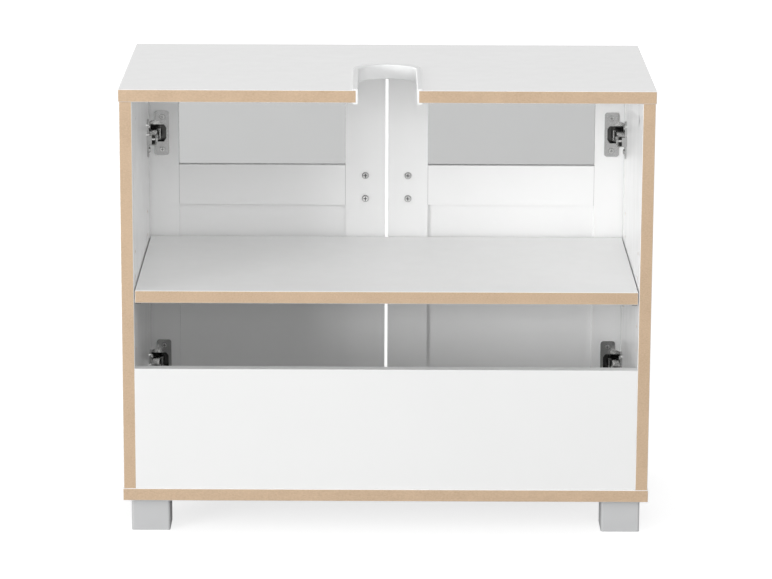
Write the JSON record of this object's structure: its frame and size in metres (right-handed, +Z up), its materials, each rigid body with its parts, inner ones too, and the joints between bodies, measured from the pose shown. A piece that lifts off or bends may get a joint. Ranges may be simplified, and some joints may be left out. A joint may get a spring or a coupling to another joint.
{
  "type": "sink base cabinet",
  "caption": "Low washbasin base cabinet with a drain cut-out in its top, an open back, a loose shelf and glazed frame doors on concealed cup hinges.",
  "frame": {"origin": "on the floor, at the middle of the overall width and of the overall depth with the handles", "axes": "+Z up, -Y out of the doors, +X to the right of someone who faces the doors"},
  "size_m": [0.68, 0.37, 0.5848],
  "materials": {
    "white_board": "semi-gloss white foil on fibreboard, rear edges raw",
    "white_door": "semi-gloss white lacquer on fibreboard",
    "satin_glass": "satin glass",
    "white_plastic": "moulded, satin",
    "grey_plastic": "moulded, silver-grey",
    "beech": "fluted beech, unfinished",
    "zinc": "die-cast zinc",
    "nickel": "nickel-plated steel",
    "brushed_metal": "brushed along its length"
  },
  "bodies": {
    "root": {"top_panel": "white_board", "bottom_panel": "white_board", "right_side_panel": "white_board", "left_side_panel": "white_board", "rear_panel": "white_board", "shelf": "white_board", "cutout_edging": "white_plastic", "right_rear_foot": "grey_plastic", "left_rear_foot": "grey_plastic", "right_front_foot": "grey_plastic", "left_front_foot": "grey_plastic", "foot_screws": "nickel", "shelf_pins": "nickel", "cam_locks": "zinc", "cam_bolts": "nickel", "dowels": "beech", "right_lower_mounting_plate": "nickel", "left_lower_mounting_plate": "nickel", "right_upper_mounting_plate": "nickel", "left_upper_mounting_plate": "nickel", "right_lower_hinge_arm": "nickel", "left_lower_hinge_arm": "nickel", "right_upper_hinge_arm": "nickel", "left_upper_hinge_arm": "nickel", "hinge_screws": "nickel", "arm_rivets": "nickel"},
    "right_door": {"right_door_stile_outer": "white_door", "right_door_stile_inner": "white_door", "right_door_rail_bottom": "white_door", "right_door_rail_middle": "white_door", "right_door_rail_top": "white_door", "right_door_panel": "white_door", "right_door_glass": "satin_glass", "right_handle": "brushed_metal", "right_handle_screws": "nickel", "right_lower_hinge_cup": "nickel", "right_upper_hinge_cup": "nickel", "right_cup_rivets": "nickel", "right_cup_screws": "nickel"},
    "right_outer_link": {"right_outer_links": "nickel"},
    "right_inner_link": {"right_inner_links": "nickel", "right_inner_link_rivets": "nickel"},
    "left_door": {"left_door_stile_outer": "white_door", "left_door_stile_inner": "white_door", "left_door_rail_bottom": "white_door", "left_door_rail_middle": "white_door", "left_door_rail_top": "white_door", "left_door_panel": "white_door", "left_door_glass": "satin_glass", "left_handle": "brushed_metal", "left_handle_screws": "nickel", "left_lower_hinge_cup": "nickel", "left_upper_hinge_cup": "nickel", "left_cup_rivets": "nickel", "left_cup_screws": "nickel"},
    "left_outer_link": {"left_outer_links": "nickel"},
    "left_inner_link": {"left_inner_links": "nickel", "left_inner_link_rivets": "nickel"}
  },
  "joints": [
    {"name": "right_link_turn", "type": "hinge", "parent": "root", "child": "right_outer_link", "pos_m": [0.3085, -0.1411, 0.304], "axis": [0, 0, -1], "range_deg": [0, 30.41]},
    {"name": "right_door_swing", "type": "hinge", "parent": "right_outer_link", "child": "right_door", "pos_m": [0.3276, -0.1474, 0.304], "axis": [0, 0, 1], "range_deg": [0, 125.4]},
    {"name": "right_free_link_turn", "type": "hinge", "parent": "root", "child": "right_inner_link", "pos_m": [0.3085, -0.1525, 0.304], "axis": [0, 0, -1], "range_deg": [0, 28.51]},
    {"name": "left_link_turn", "type": "hinge", "parent": "root", "child": "left_outer_link", "pos_m": [-0.3085, -0.1411, 0.304], "axis": [0, 0, 1], "range_deg": [0, 30.41]},
    {"name": "left_door_swing", "type": "hinge", "parent": "left_outer_link", "child": "left_door", "pos_m": [-0.3276, -0.1474, 0.304], "axis": [0, 0, -1], "range_deg": [0, 125.4]},
    {"name": "left_free_link_turn", "type": "hinge", "parent": "root", "child": "left_inner_link", "pos_m": [-0.3085, -0.1525, 0.304], "axis": [0, 0, 1], "range_deg": [0, 28.51]}
  ],
  "couplings": [
    {"joint": "right_link_turn", "follows": "right_door_swing", "ratio": 0.24242},
    {"joint": "right_free_link_turn", "follows": "right_door_swing", "ratio": 0.22727},
    {"joint": "left_link_turn", "follows": "left_door_swing", "ratio": 0.24242},
    {"joint": "left_free_link_turn", "follows": "left_door_swing", "ratio": 0.22727}
  ]
}
